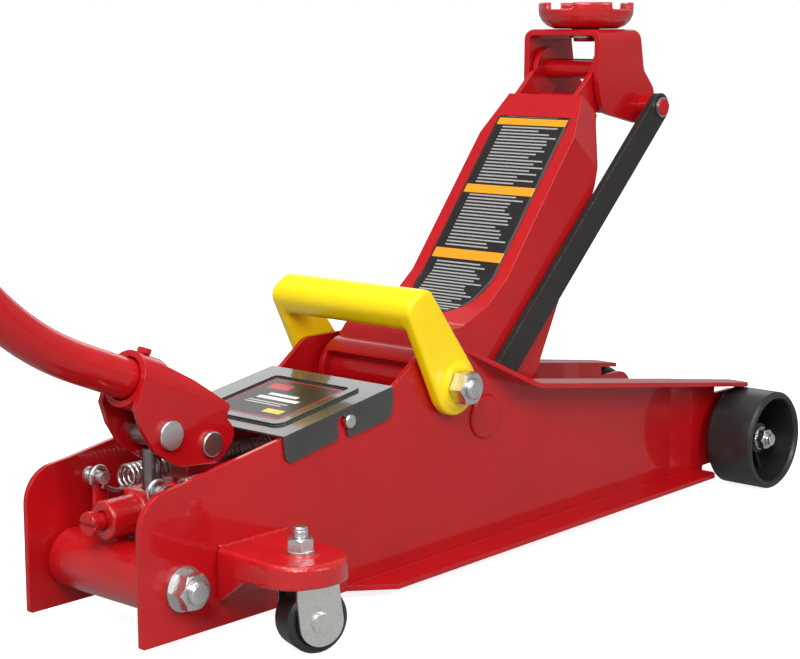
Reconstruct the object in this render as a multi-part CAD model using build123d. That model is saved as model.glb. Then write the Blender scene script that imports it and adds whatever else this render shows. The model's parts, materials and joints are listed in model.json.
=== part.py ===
from build123d import *
import os
from math import atan2, cos, degrees, pi, radians, sin

# Hydraulic trolley jack, raised. Millimetres. +X runs from the casters to the saddle, +Y is the left side,
# +Z is up. All positions below are measured from the rear edge of the side plates (X), the middle plane (Y)
# and the floor (Z). The finished parts are moved so that the origin is the middle of the box's underside.

# ---------------------------------------------------------------- driving dimensions: frame
PLATE_OUT = 47.3                # middle plane to the outer face of a side plate, rear part
PLATE_T = 3.0                   # side plate sheet
PLATE_IN = PLATE_OUT - PLATE_T
JOG_X = (474.0, 496.0)          # where the side plate steps outwards ahead of the arm
JOG = 3.0                       # size of that step
FLANGE_OUT = 67.0               # middle plane to the edge of the bent flanges
BASE_Z = 9.3                    # underside of the side plate at the casters
TOP_SLOPE = 0.17                # rise of the rear top edge per mm
TOP_Z = 85.05                   # height of that edge's line at X = 0
HUMP_Z = 133.0                  # top of the hump over the main pivot

# ---------------------------------------------------------------- driving dimensions: linkage (X, Z)
ARM_PIVOT = (236.5, 112.0)      # main bolt
TOP_PIVOT = (424.0, 291.0)      # arm to saddle bracket
ROD_OFFSET = (35.0, -24.5)      # from the arm's pivots to the rod's pivots, the parallelogram's short side
ROD_LOW = (ARM_PIVOT[0] + ROD_OFFSET[0], ARM_PIVOT[1] + ROD_OFFSET[1])
ROD_TOP = (TOP_PIVOT[0] + ROD_OFFSET[0], TOP_PIVOT[1] + ROD_OFFSET[1])
LEVER = 50.0                    # main pivot to the pin that the ram pushes
LEVER_TURN = 24.0               # degrees that this pin is ahead of straight down
LEVER_PIN = (ARM_PIVOT[0] + LEVER * sin(radians(LEVER_TURN)), ARM_PIVOT[1] - LEVER * cos(radians(LEVER_TURN)))
ARM_HALF = 38.5                 # half width of the arm's box
EAR_HALF = 25.5                 # half width over the ears at its top
ARM_SHEET = 3.5
ARM_DIR = (0.6347, 0.7728)      # unit vector up the arm's upper face
ARM_END = (390.4, 275.7)        # upper end of that face
TAPER_FROM = -32.0              # where the box starts to narrow, along the face from its upper end
ARM_NARROW = 30.0               # half width at the upper end of that face
ARM_STAY = (412.0, 270.0)       # cross tube that stiffens the arm below its ears
ROD_WIDTH = 18.5                # radius rod
NUT_FLATS = 18.0                # M12 nuts and bolt heads
BOLT_R = 7.0                    # cross bolts inside the frame
THREAD_R = 6.0                  # their threaded ends
NUT_FLANGE_R = 12.0

# ---------------------------------------------------------------- driving dimensions: hydraulics
TRUNNION = (27.5, 36.0)         # rear cross bolt
RAM_Z = 64.2                    # height of the cylinder's axis
PLUNGER_X = 49.5
PLUNGER_GAP = 0.95              # under the roller, for the part of its arc that a straight stroke leaves out
FULCRUM = (77.5, 98.6)          # pin that the handle socket turns on
ROLLER = (48.5, 108.2)          # pin of the roller that presses the plunger
ROLLER_R = 8.0
SPRING_Y = 23.5                 # middle plane to each return spring
SPRING_Z = 79.0
SPRING_ANCHOR = (32.5, 82.0)
SPRING_COIL_X = (47.0, 158.0)
SPRING_PIN = (LEVER_PIN[0] - 12.5, RAM_Z + 8.0)     # on the crosshead
RESERVOIR_X = (70.0, 180.0)
VALVE_Z = 65.0
VALVE_Y = 2.0
BODY_X = (38.0, 70.0)           # pump body's rear and front faces

# ---------------------------------------------------------------- driving dimensions: handle
SOCKET_HALF = 15.5
SOCKET_IN = 12.0
HANDLE_R = 11.0
HANDLE_DEG = 22.0               # rise of the handle inside its socket
HANDLE_FOOT = (60.0, 127.6)     # centre of the handle's lower end
HANDLE_BEND_R = 170.0
HANDLE_TOP_DEG = 45.0           # rise after the bend
MOUTH = (12.0, 30.0)            # closed sleeve of the socket, along the handle from its foot
UPPER_LENGTH = 300.0
GRIP_LENGTH = 110.0
BUTTON_FOOT = 7.6               # handle's axis to the foot of the spring button
GRIP_AT = (205.5, 161.0)        # centre of the carry handle's grip bar

# ---------------------------------------------------------------- driving dimensions: wheels
WHEEL_R = 34.0
WHEEL_X = 539.0
WHEEL_IN = 55.5                 # middle plane to a front wheel's inner face
WHEEL_OUT = 91.0
AXLE_R = 6.0
CASTER_XY = (73.0, 87.5)        # swivel axis of a caster
CASTER_R = 17.5
CASTER_TRAIL = 6.0
CASTER_TURN = 18.8              # degrees that a caster is swivelled from straight
BRACKET_Z = 52.0                # top of a caster bracket
BRACKET_T = 3.2
FORK_TOP = 40.3
FORK_HALF = 12.6                # middle of the wheel to the fork's outer face
FORK_SHEET = 2.0

# ---------------------------------------------------------------- driving dimensions: saddle and cover
SADDLE_X = 433.3
SADDLE_TOP = 335.0
BRACKET_TOP = 317.5
BRACKET_HALF = 30.6
BRACKET_SHEET = 4.0
COVER_X = (100.2, 187.4)
COVER_Z = (103.5, 118.3)
COVER_HALF = 48.8
COVER_SHEET = 1.2
COVER_SCREW = (151.0, 104.0)
COVER_TILT = degrees(atan2(COVER_Z[1] - COVER_Z[0], COVER_X[1] - COVER_X[0]))

RUN_GAP = 0.08                  # radial clearance of a turning fit
CLEAR = 0.3                     # gap between parts that move past each other

parts = {}


# ---------------------------------------------------------------- small helpers
def plate_xz(outline, y_low, y_high):
    """Solid from an outline in X and Z, between two Y positions."""
    plane = Plane(origin=(0, y_high, 0), x_dir=(1, 0, 0), z_dir=(0, -1, 0))
    return extrude(plane * outline, y_high - y_low)


def plate_xy(outline, z_low, z_high):
    """Solid from an outline in X and Y, between two heights."""
    return extrude(Plane.XY.offset(z_low) * outline, z_high - z_low)


def bar_y(centre, radius, y_low, y_high):
    """Round bar along Y through an (X, Z) point."""
    return plate_xz(Pos(*centre) * Circle(radius), y_low, y_high)


def bar_x(y, z, radius, x_low, x_high):
    """Round bar along X."""
    plane = Plane(origin=(x_low, 0, 0), x_dir=(0, 1, 0), z_dir=(1, 0, 0))
    return extrude(plane * Pos(y, z) * Circle(radius), x_high - x_low)


def bar_z(x, y, radius, z_low, z_high):
    """Round bar along Z."""
    return plate_xy(Pos(x, y) * Circle(radius), z_low, z_high)


def polygon(*points):
    """Closed face with sharp corners."""
    return make_face(Polyline(*points, close=True))


def rounded(radius, *points):
    """Closed face with every corner rounded, by one radius or by a list of them."""
    return make_face(FilletPolyline(*points, radius=radius, close=True))


def outward(x, z, y):
    """Place at a point of the left side, with local +Z pointing out along +Y."""
    return Pos(x, y, z) * Rot(-90, 0, 0)


def right_of(shape):
    """The same piece on the right side."""
    return mirror(shape, about=Plane.XZ)


def group(name, left):
    """Identical fasteners on both sides as one node of two solids."""
    parts[name] = Compound(children=[left, right_of(left)])


def pair(name, left):
    """A piece on the left side and its mirror image on the right, as two nodes."""
    parts[name + "_left"] = left
    parts[name + "_right"] = right_of(left)


def hex_body(flats, height):
    """Hexagon along +Z whose upper corners are turned off, as on a nut."""
    corner = flats / 2 / cos(pi / 6)
    turned = Cylinder(corner, height, align=(Align.CENTER, Align.CENTER, Align.MIN))
    turned = chamfer(turned.edges().sort_by(Axis.Z)[-1:], corner - flats / 2)
    return turned & extrude(RegularPolygon(flats / 2, 6, major_radius=False), height)


def stub(radius, length):
    """Threaded end of a bolt or stud along +Z, with a small lead chamfer."""
    bar = Cylinder(radius, length, align=(Align.CENTER, Align.CENTER, Align.MIN))
    return chamfer(bar.edges().sort_by(Axis.Z)[-1:], radius * 0.16)


def washer(radius, bore, thickness):
    """Flat washer along +Z."""
    return extrude(Circle(radius) - Circle(bore), thickness)


# ---------------------------------------------------------------- side plates
def top_line(x):
    """Height of the side plate's front top edge."""
    return 72.0 + 0.142 * (539.6 - x)


def bottom_line(x):
    """Height of the bottom flange's underside."""
    return 5.8 + 0.0118 * (x - 142.0)


def side_plate():
    """Left side plate: a web with a hump over the pivot and flanges bent outwards along its front part."""
    front_top = (524.0, top_line(524.0))
    points = [
        (0.0, BASE_Z), (0.0, 86.5), (30.0, TOP_Z + TOP_SLOPE * 30.0), (190.0, TOP_Z + TOP_SLOPE * 190.0),
        (212.0, HUMP_Z), (252.0, HUMP_Z), (300.0, top_line(300.0)), front_top,
        (524.0, 64.5), (562.0, 64.5), (562.0, 15.0), (511.0, 14.6), (511.0, bottom_line(511.0)),
        (142.0, bottom_line(142.0)), (118.0, BASE_Z)]
    radii = [2.0, 20.0, 4.0, 12.0, 14.0, 16.0, 30.0, 1.0, 1.5, 15.0, 15.0, 1.2, 0.8, 6.0, 6.0]
    outline = rounded(radii, *points)
    strip = polygon(
        (-1, PLATE_IN), (JOG_X[0], PLATE_IN), (JOG_X[1], PLATE_IN + JOG), (570, PLATE_IN + JOG),
        (570, PLATE_OUT + JOG), (JOG_X[1], PLATE_OUT + JOG), (JOG_X[0], PLATE_OUT), (-1, PLATE_OUT))
    web = plate_xz(outline, PLATE_IN - 1, PLATE_OUT + JOG + 1) & plate_xy(strip, -5, 150)
    return web + top_flange() + bottom_flange()


def flange_plan(x_start, x_full, x_tip, corner):
    """Plan of a bent flange: it widens from the web, runs level and ends in a chamfered tip."""
    root = PLATE_IN + 1.2
    return polygon(
        (x_start, root), (JOG_X[0], root), (JOG_X[1], root + JOG), (x_tip, root + JOG),
        (x_tip, FLANGE_OUT - corner), (x_tip - corner, FLANGE_OUT), (x_full, FLANGE_OUT), (x_start, PLATE_OUT))


def top_flange():
    """Flange along the hump's front slope and the front top edge, with a tongue over the wheel."""
    cover = rounded(
        [1.0, 1.0, 16.0, 30.0, 0.4, 0.4], (230.0, 40.0), (230.0, HUMP_Z), (252.0, HUMP_Z),
        (300.0, top_line(300.0)), (550.0, top_line(550.0)), (550.0, 40.0))
    band = cover - Pos(0, -PLATE_T) * cover
    return plate_xz(band, PLATE_IN, FLANGE_OUT + 1) & plate_xy(flange_plan(254.0, 300.0, 545.0, 4.0), 50, 150)


def bottom_flange():
    """Flange along the front bottom edge."""
    band = polygon(
        (148.0, bottom_line(148.0)), (509.0, bottom_line(509.0)),
        (509.0, bottom_line(509.0) + PLATE_T), (148.0, bottom_line(148.0) + PLATE_T))
    return plate_xz(band, PLATE_IN, FLANGE_OUT + 1) & plate_xy(flange_plan(150.0, 172.0, 505.0, 4.0), 0, 20)


def finished_side_plate():
    """Side plate with the holes of its cross bolts and pins."""
    plate = side_plate()
    for centre, radius in ((ARM_PIVOT, BOLT_R), (TRUNNION, BOLT_R), ((WHEEL_X, WHEEL_R), AXLE_R), (ROD_LOW, 8.0)):
        plate -= bar_y(centre, radius, PLATE_IN - 2, PLATE_OUT + JOG + 2)
    plate -= bar_y(COVER_SCREW, 2.4, PLATE_IN - 2, PLATE_OUT + 2)
    return plate


# ---------------------------------------------------------------- cover plate
def cover_plane(lift=0.0):
    """Plane on the cover's upper face, with local X running up the slope from its rear edge."""
    slope = radians(COVER_TILT)
    base = (COVER_X[0] - lift * sin(slope), 0, COVER_Z[0] + lift * cos(slope))
    return Plane(origin=base, x_dir=(cos(slope), 0, sin(slope)), z_dir=(-sin(slope), 0, cos(slope)))


def cover_plate():
    """Pressed cover: sloping top, two sides folded down outside the side plates and a raised border."""
    length = (COVER_X[1] - COVER_X[0]) / cos(radians(COVER_TILT))
    top = extrude(cover_plane() * Pos(length / 2, 0) * Rectangle(length, 2 * COVER_HALF), -COVER_SHEET)
    drop = rounded(
        [0.5, 0.5, 8.0, 1.5, 3.9, 3.9, 1.5, 5.0],
        (COVER_X[0], COVER_Z[0]), (COVER_X[1], COVER_Z[1]), (187.4, 100.2), (150.4, 94.6), (149.4, 108.0),
        (141.2, 107.0), (142.6, 95.2), (102.0, 87.4))
    side = plate_xz(drop, COVER_HALF - COVER_SHEET, COVER_HALF)
    border = Pos(length / 2, 0) * (RectangleRounded(68.0, 70.0, 6.0) - RectangleRounded(58.0, 60.0, 3.0))
    cover = top + side + right_of(side) + extrude(cover_plane(-0.2) * border, 1.6)
    return cover - bar_y(COVER_SCREW, 2.4, -60, 60)


def cover_screw():
    """Left pan-head screw that holds the cover's side."""
    head = outward(*COVER_SCREW, COVER_HALF + 0.05) * (
        Cylinder(4.0, 2.2, align=(Align.CENTER, Align.CENTER, Align.MIN)))
    head = fillet(head.edges().sort_by(Axis.Y)[-1:], 1.2)
    return head + bar_y(COVER_SCREW, 2.4, PLATE_IN - 4, COVER_HALF + 0.1)


# ---------------------------------------------------------------- lift arm
def along_arm(s, n):
    """Point at distance s along the arm's upper face from its upper end and n above the face."""
    return (ARM_END[0] + s * ARM_DIR[0] - n * ARM_DIR[1], ARM_END[1] + s * ARM_DIR[1] + n * ARM_DIR[0])


def arm_width_body(inset):
    """Prism square to the arm's face that sets the arm's width along its length, less an inset."""
    half = ARM_HALF - inset
    narrow = ARM_NARROW - inset
    ear = EAR_HALF - inset
    plane = Plane(
        origin=(ARM_END[0], 0, ARM_END[1]), x_dir=(ARM_DIR[0], 0, ARM_DIR[1]), z_dir=(-ARM_DIR[1], 0, ARM_DIR[0]))
    outline = polygon(
        (-330, -half), (TAPER_FROM, -half), (-inset, -narrow), (-inset, -ear), (90, -ear),
        (90, ear), (-inset, ear), (-inset, narrow), (TAPER_FROM, half), (-330, half))
    return extrude(plane * outline, 150, both=True)


def arm_outline():
    """Side view of the whole arm: pivot cheek, lever lobe, tapering box and top ears."""
    box = rounded(
        [6.0, 4.0, 14.0, 30.0, 18.0, 10.0, 16.0, 13.5, 13.5, 30.0, 20.0, 40.0, 12.0, 3.0],
        (410.0, 293.0), ARM_END, (303.5, 167.0), (284.0, 151.5), (262.0, 142.5), (242.0, 141.0),
        (214.0, 108.0), (244.0, 50.5), (270.0, 52.0), (292.0, 86.0), (332.0, 101.0), (393.0, 217.0),
        (404.0, 262.0), (430.0, 277.0))
    return box + Pos(*TOP_PIVOT) * Circle(14.5) + Pos(*ARM_PIVOT) * Circle(20.0)


def arm_hollow():
    """Side view of the space inside the arm: below its bent top sheet and between the ears."""
    t = ARM_SHEET + 0.5
    return polygon(
        (208.0, 136.0), (228.7, 119.0), (244.0, 136.6), (263.4, 138.2), (286.2, 148.2), (306.6, 164.4),
        along_arm(0.0, -t), along_arm(0.0, 24.0), along_arm(90.0, 24.0), (470.0, 30.0), (190.0, 30.0),
        (190.0, 136.0))


def arm_shell():
    """Lift arm: bent top sheet welded to two cheeks, open underneath."""
    outer = plate_xz(arm_outline(), -ARM_HALF, ARM_HALF) & arm_width_body(0.0)
    inner = plate_xz(arm_hollow(), -ARM_HALF, ARM_HALF) & arm_width_body(ARM_SHEET)
    arm = outer - inner
    arm -= bar_y(ARM_PIVOT, 13.0, -ARM_HALF, ARM_HALF)
    arm -= bar_y(LEVER_PIN, 7.0, -ARM_HALF, ARM_HALF)
    arm -= bar_y(TOP_PIVOT, 6.0 + RUN_GAP, -ARM_HALF, ARM_HALF)
    arm -= bar_y(ARM_STAY, 6.0, -ARM_HALF, ARM_HALF)
    return arm


def arm_pivot_tube():
    """Tube welded through the arm's cheeks; the main bolt runs inside it."""
    tube = bar_y(ARM_PIVOT, 13.0, -ARM_HALF, ARM_HALF)
    tube += bar_y(ARM_PIVOT, 10.0, -PLATE_IN + CLEAR, PLATE_IN - CLEAR)
    return tube - bar_y(ARM_PIVOT, BOLT_R + RUN_GAP, -60, 60)


# ---------------------------------------------------------------- saddle bracket, rods, saddle
def saddle_bracket():
    """Folded bracket: an upside-down U whose sides reach forward to the radius rods."""
    side = rounded(
        [3.0, 3.0, 8.0, 9.0, 10.5, 10.5, 14.0, 8.0],
        (407.0, BRACKET_TOP), (452.5, BRACKET_TOP), (457.5, 290.7), (469.0, 279.0), (473.0, 262.0),
        (452.0, 255.5), (412.0, 264.0), (406.5, 284.0))
    outer = plate_xz(side, -BRACKET_HALF, BRACKET_HALF)
    front = Plane(origin=(390, 0, BRACKET_TOP - 40.0), x_dir=(0, 1, 0), z_dir=(1, 0, 0))
    outer &= extrude(front * RectangleRounded(2 * BRACKET_HALF, 80.0, 7.0), 100)
    inner = RectangleRounded(2 * (BRACKET_HALF - BRACKET_SHEET), 80.0, 3.5)
    outer -= extrude(front * Pos(0, -BRACKET_SHEET) * inner, 100)
    outer -= bar_z(SADDLE_X, 0, 8.0 + RUN_GAP, 290, BRACKET_TOP + 5)
    for centre, radius in ((TOP_PIVOT, 6.0), (ROD_TOP, 5.5)):
        outer -= bar_y(centre, radius, -BRACKET_HALF - 1, BRACKET_HALF + 1)
    return outer


def saddle():
    """Cast cup with four lugs on its rim and a stem that turns in the bracket."""
    base = BRACKET_TOP + CLEAR
    rim = SADDLE_TOP - 4.5
    profile = Polyline(
        (0, base - 8.5), (8.0, base - 8.5), (8.0, base), (21.0, base), (25.5, base + 1.8), (29.0, base + 5.0),
        (31.0, base + 9.0), (31.5, rim), (27.8, rim), (27.2, base + 9.0), (24.0, base + 5.0),
        (0, base + 5.0), close=True)
    cup = revolve(Plane.XZ * make_face(profile), Axis.Z)
    ring = extrude(Plane.XY.offset(rim - 0.5) * (Circle(31.4) - Circle(27.8)), SADDLE_TOP - rim + 0.5)
    keep = Plane.XY.offset(rim - 2) * Rectangle(80, 26)
    bars = extrude(keep, 10)
    lugs = ring & (bars + Rot(0, 0, 90) * bars)
    cup = cup + lugs
    return Pos(SADDLE_X, 0, 0) * Rot(0, 0, 45) * cup


def radius_rod():
    """Left radius rod, from the side plate's stud to the bracket's cross pin."""
    inner = ARM_HALF + 0.8
    outer = PLATE_IN - 0.6
    length = ((ROD_TOP[0] - ROD_LOW[0]) ** 2 + (ROD_TOP[1] - ROD_LOW[1]) ** 2) ** 0.5
    angle = degrees(atan2(ROD_TOP[1] - ROD_LOW[1], ROD_TOP[0] - ROD_LOW[0]))
    outline = Pos(*ROD_LOW) * Rot(0, 0, angle) * Pos(length / 2, 0) * SlotCenterToCenter(length, ROD_WIDTH)
    rod = plate_xz(outline, inner, outer)
    rod -= bar_y(ROD_LOW, 6.0 + RUN_GAP, inner - 1, outer + 1)
    return rod - bar_y(ROD_TOP, 5.5 + RUN_GAP, inner - 1, outer + 1)


def rod_stud():
    """Stud pressed into the left side plate that the radius rod turns on, with its domed outer plug."""
    stud = bar_y(ROD_LOW, 6.0, ARM_HALF + 0.5, PLATE_IN)
    stud += bar_y(ROD_LOW, 8.0, PLATE_IN, PLATE_OUT)
    dome = bar_y(ROD_LOW, 13.5, PLATE_OUT, PLATE_OUT + 1.8)
    dome = fillet(dome.edges().sort_by(Axis.Y)[-1:], 1.5)
    return stud + dome


def retaining_clip():
    """Left R-clip through the end of the rod's cross pin."""
    ring = Rot(90, 0, 0) * (Cylinder(6.6, 1.6) - Cylinder(5.5 + 0.02, 1.6))
    leg = Pos(8.3, 0, 3.2) * Rot(0, 25, 0) * Cylinder(0.65, 9.0)
    return Pos(ROD_TOP[0], PLATE_IN + 0.6, ROD_TOP[1]) * (ring + leg)


# ---------------------------------------------------------------- power unit
def pump_block():
    """Casting: trunnion tube across the frame, pump body, plunger boss, valve boss and fulcrum lug."""
    tube = bar_y(TRUNNION, 16.5, -PLATE_IN + CLEAR, PLATE_IN - CLEAR)
    tube = chamfer(tube.edges().filter_by(GeomType.CIRCLE), 2.5)
    body = Pos((BODY_X[0] + BODY_X[1]) / 2, 0, 44.0) * Box(BODY_X[1] - BODY_X[0], 38.0, 36.0)
    body = fillet(body.edges().filter_by(Axis.X), 6.0)
    body += Pos(66.0, 0, RAM_Z - 4.0) * Box(20.0, 31.0, 36.0)
    body += Pos(PLUNGER_X, 0, 64.0) * Box(22.0, 23.0, 27.0)
    body += plate_xz(rounded(
        [4, 4, 7.9, 7.9], (67.0, 60.0), (88.0, 60.0), (FULCRUM[0] + 8.0, 107.0), (FULCRUM[0] - 8.0, 107.0)),
        -7.0, 7.0)
    body += bar_x(VALVE_Y, VALVE_Z, 10.5, 16.0, 42.0)
    for sign in (1, -1):
        body += Pos(36.0, sign * 27.5, 69.0) * Box(10.0, 4.0, 34.0)
        body += Pos(36.0, sign * 21.0, 55.0) * Box(10.0, 16.0, 8.0)
    block = tube + body
    block -= bar_y(TRUNNION, BOLT_R, -50, 50)
    block -= bar_z(PLUNGER_X, 0, 5.3 + RUN_GAP, 44.0, 90.0)
    block -= bar_x(VALVE_Y, VALVE_Z, 4.5 + RUN_GAP, 10.0, 40.0)
    block -= bar_y(FULCRUM, 5.5 + RUN_GAP, -20, 20)
    block -= bar_x(0.0, RAM_Z, 17.5, RESERVOIR_X[0], 100.0)
    for sign in (1, -1):
        block -= bar_y(SPRING_ANCHOR, 3.5, sign * 27.5 - 4, sign * 27.5 + 4)
    return block


def anchor_pin():
    """Left anchor pin of a return spring, with a round head."""
    pin = bar_y(SPRING_ANCHOR, 3.5, 18.5, 31.0)
    return pin + bar_y(SPRING_ANCHOR, 4.6, 29.6, 32.0)


def plunger():
    """Pump plunger, pressed down by the roller."""
    rod = bar_z(PLUNGER_X, 0, 5.3, 56.0, ROLLER[1] - ROLLER_R - PLUNGER_GAP)
    return chamfer(rod.edges().sort_by(Axis.Z)[-1:], 0.6)


def release_valve():
    """Release valve: spindle along the jack with a slotted knob on its outer end."""
    spindle = bar_x(VALVE_Y, VALVE_Z, 4.5, 10.0, 38.0)
    knob = bar_x(VALVE_Y, VALVE_Z, 6.5, 6.0, 10.5)
    knob = chamfer(knob.edges().filter_by(GeomType.CIRCLE), 0.8)
    return spindle + knob - Pos(6.0, VALVE_Y, VALVE_Z) * Box(3.0, 20.0, 2.0)


def reservoir():
    """Outer tube of the cylinder, which holds the oil."""
    tube = bar_x(0, RAM_Z, 17.5, *RESERVOIR_X)
    return tube - bar_x(0, RAM_Z, 14.0, RESERVOIR_X[0] + 6.0, RESERVOIR_X[1] + 1)


def cylinder_gland():
    """Screwed gland that closes the reservoir's front end round the ram."""
    gland = bar_x(0, RAM_Z, 18.8, RESERVOIR_X[1], RESERVOIR_X[1] + 10.0)
    gland += bar_x(0, RAM_Z, 14.0, RESERVOIR_X[1] - 12.0, RESERVOIR_X[1])
    return gland - bar_x(0, RAM_Z, 11.0 + RUN_GAP, RESERVOIR_X[1] - 20, RESERVOIR_X[1] + 20)


def ram():
    """Ram with its piston, from inside the cylinder to the crosshead."""
    rod = bar_x(0, RAM_Z, 11.0, 132.0, LEVER_PIN[0] - 12.0)
    piston = bar_x(0, RAM_Z, 13.9, 122.0, 134.0)
    return rod + piston


def crosshead():
    """Block on the ram's end with an upright slot for the arm's pin and two spring pins."""
    half_x = 17.0
    block = Pos(LEVER_PIN[0], 0, RAM_Z) * Box(2 * half_x, 28.0, 34.0)
    block = fillet(block.edges().filter_by(Axis.Y), 5.0)
    slot = Rot(0, 0, 90) * SlotCenterToCenter(6.0, 15.2)
    block -= plate_xz(Pos(LEVER_PIN[0], RAM_Z) * slot, -30, 30)
    block += bar_y(SPRING_PIN, 3.0, 13.0, 27.0)
    block += bar_y(SPRING_PIN, 3.0, -27.0, -13.0)
    return block - bar_x(0, RAM_Z, 11.0, 200.0, LEVER_PIN[0] - 12.0)


def return_spring():
    """Left return spring's outer shape: coil body and straight end wires with hooks."""
    drop = degrees(atan2(SPRING_Z - SPRING_PIN[1], SPRING_PIN[0] - SPRING_COIL_X[1]))
    coil = bar_x(SPRING_Y, SPRING_Z, 7.0, *SPRING_COIL_X)
    coil -= bar_x(SPRING_Y, SPRING_Z, 4.8, SPRING_COIL_X[0] + 2.0, SPRING_COIL_X[1] - 2.0)
    rear_wire = bar_x(SPRING_Y, SPRING_Z, 1.0, SPRING_ANCHOR[0] + 4.2, SPRING_COIL_X[0] + 1)
    rear_eye = hook_eye(SPRING_ANCHOR, 3.7)
    length = ((SPRING_PIN[0] - SPRING_COIL_X[1]) ** 2 + (SPRING_PIN[1] - SPRING_Z) ** 2) ** 0.5
    place = Pos(SPRING_COIL_X[1] - 0.5, SPRING_Y, SPRING_Z) * Rot(0, 90 + drop, 0)
    front_wire = place * Cylinder(1.0, length - 3.9, align=(Align.CENTER, Align.CENTER, Align.MIN))
    return coil + rear_wire + rear_eye + front_wire + hook_eye(SPRING_PIN, 3.2)


def hook_eye(centre, inner):
    """Round eye of spring wire about a pin along Y."""
    return bar_y(centre, inner + 2.2, SPRING_Y - 1.25, SPRING_Y + 1.25) - bar_y(
        centre, inner, SPRING_Y - 2, SPRING_Y + 2)


# ---------------------------------------------------------------- handle socket and handle
def socket_frame():
    """Plane at the handle's foot with local Z along the handle and local X across it, upwards."""
    rise = radians(HANDLE_DEG)
    return Plane(
        origin=(HANDLE_FOOT[0], 0, HANDLE_FOOT[1]), x_dir=(sin(rise), 0, cos(rise)),
        z_dir=(-cos(rise), 0, sin(rise)))


def channel(half, up):
    """Prism along the handle: round over the top and straight down on both sides."""
    outline = Circle(half) + Pos(-40, 0) * Rectangle(80, 2 * half)
    return extrude(socket_frame() * Pos(up, 0) * outline, 120, both=True)


def handle_socket():
    """Formed yoke: tube-like mouth for the handle and two cheeks with the pins."""
    side = rounded(
        [1.0, 1.5, 5.0, 10.0, 14.0, 12.0, 8.0, 3.0, 2.0, 1.5, 16.0],
        (37.6, 152.5), (26.6, 125.2), (30.5, 113.5), (39.0, 100.0), (55.0, 89.5), (84.0, 86.8), (98.0, 101.5),
        (89.5, 111.0), (93.0, 117.5), (86.0, 122.5), (70.0, 134.0))
    yoke = plate_xz(side, -SOCKET_HALF, SOCKET_HALF) & channel(SOCKET_HALF, 0.0)
    yoke -= channel(SOCKET_IN, 0.0)
    ring = Circle(SOCKET_HALF) - Circle(SOCKET_IN)
    yoke += extrude(socket_frame().offset(MOUTH[0]) * ring, MOUTH[1] - MOUTH[0])
    for centre in (FULCRUM, ROLLER):
        yoke -= bar_y(centre, 5.5, -20, 20)
    screw = socket_frame() * Pos(SOCKET_HALF - 2, 0, 22.0) * Rot(0, 90, 0)
    return yoke - screw * Cylinder(2.5, 10)


def cheek_pin(centre, radius, head):
    """Cross pin of the socket with a flat round head on the right and a ring on the left."""
    pin = bar_y(centre, 5.5, -SOCKET_HALF, SOCKET_HALF + 4.0)
    cap = bar_y(centre, head, -SOCKET_HALF - 3.0, -SOCKET_HALF)
    cap = fillet(cap.edges().sort_by(Axis.Y)[:1], 0.8)
    ring = bar_y(centre, radius + 3.0, SOCKET_HALF + 0.3, SOCKET_HALF + 1.8)
    return pin + cap + ring


def roller():
    """Roller between the cheeks that rides on the plunger."""
    return bar_y(ROLLER, ROLLER_R, -7.0, 7.0) - bar_y(ROLLER, 5.5 + RUN_GAP, -8.0, 8.0)


def socket_screw():
    """Screw that keeps the handle in its socket."""
    place = socket_frame() * Pos(SOCKET_HALF - 3.4, 0, 22.0) * Rot(0, 90, 0)
    shank = Cylinder(2.5, 3.6, align=(Align.CENTER, Align.CENTER, Align.MIN))
    head = Pos(0, 0, 3.5) * hex_body(7.0, 3.0)
    return place * (shank + head)


def handle_path():
    """Handle's centre line from its foot: straight, a long bend upwards, straight."""
    rise = radians(HANDLE_DEG)
    turn = HANDLE_TOP_DEG - HANDLE_DEG
    start = Vector(*HANDLE_FOOT)
    bend = start + Vector(-cos(rise), sin(rise)) * 62.0
    centre = bend + Vector(sin(rise), cos(rise)) * HANDLE_BEND_R
    top = radians(HANDLE_TOP_DEG)
    end = centre - Vector(sin(top), cos(top)) * HANDLE_BEND_R
    middle_rise = radians(HANDLE_DEG + turn / 2)
    middle = centre - Vector(sin(middle_rise), cos(middle_rise)) * HANDLE_BEND_R
    tip = end + Vector(-cos(top), sin(top)) * 150.0
    return start, bend, middle, end, tip


def handle_lower():
    """Lower handle: bent steel tube."""
    start, bend, middle, end, tip = handle_path()
    to_xz = Plane(origin=(0, 0, 0), x_dir=(1, 0, 0), z_dir=(0, -1, 0))
    path = Line(start, bend) + ThreePointArc(bend, middle, end) + Line(end, tip)
    ring = socket_frame() * (Circle(HANDLE_R) - Circle(HANDLE_R - 2.0))
    return sweep(ring, path=to_xz * path) - handle_button(BUTTON_FOOT - 3.6)


def along_handle(distance):
    """Place on the upper handle at a distance past the lower handle's end, local Z up the handle."""
    tip = handle_path()[4]
    top = radians(HANDLE_TOP_DEG)
    point = tip + Vector(-cos(top), sin(top)) * distance
    return Plane(origin=(point.X, 0, point.Y), x_dir=(sin(top), 0, cos(top)), z_dir=(-cos(top), 0, sin(top)))


def handle_upper():
    """Upper handle: straight tube whose thin end slides into the lower one."""
    outer, inner = HANDLE_R, HANDLE_R - 2.0
    profile = Polyline(
        (inner - 2.0, -55.0), (inner - 0.1, -55.0), (inner - 0.1, 0.2), (outer, 0.2), (outer, UPPER_LENGTH),
        (inner, UPPER_LENGTH), (inner, 10.0), (inner - 2.0, 10.0), close=True)
    return along_handle(0.0).location * revolve(Plane.XZ * make_face(profile), Axis.Z) - handle_button(BUTTON_FOOT - 3.6)


def handle_grip():
    """Rubber grip over the handle's end."""
    grip = extrude(along_handle(UPPER_LENGTH - GRIP_LENGTH + 6.0) * Circle(HANDLE_R + 4.0), GRIP_LENGTH)
    grip = fillet(grip.edges().filter_by(GeomType.CIRCLE), 3.5)
    return grip - extrude(along_handle(0.0) * Circle(HANDLE_R), UPPER_LENGTH + 0.2)


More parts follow.
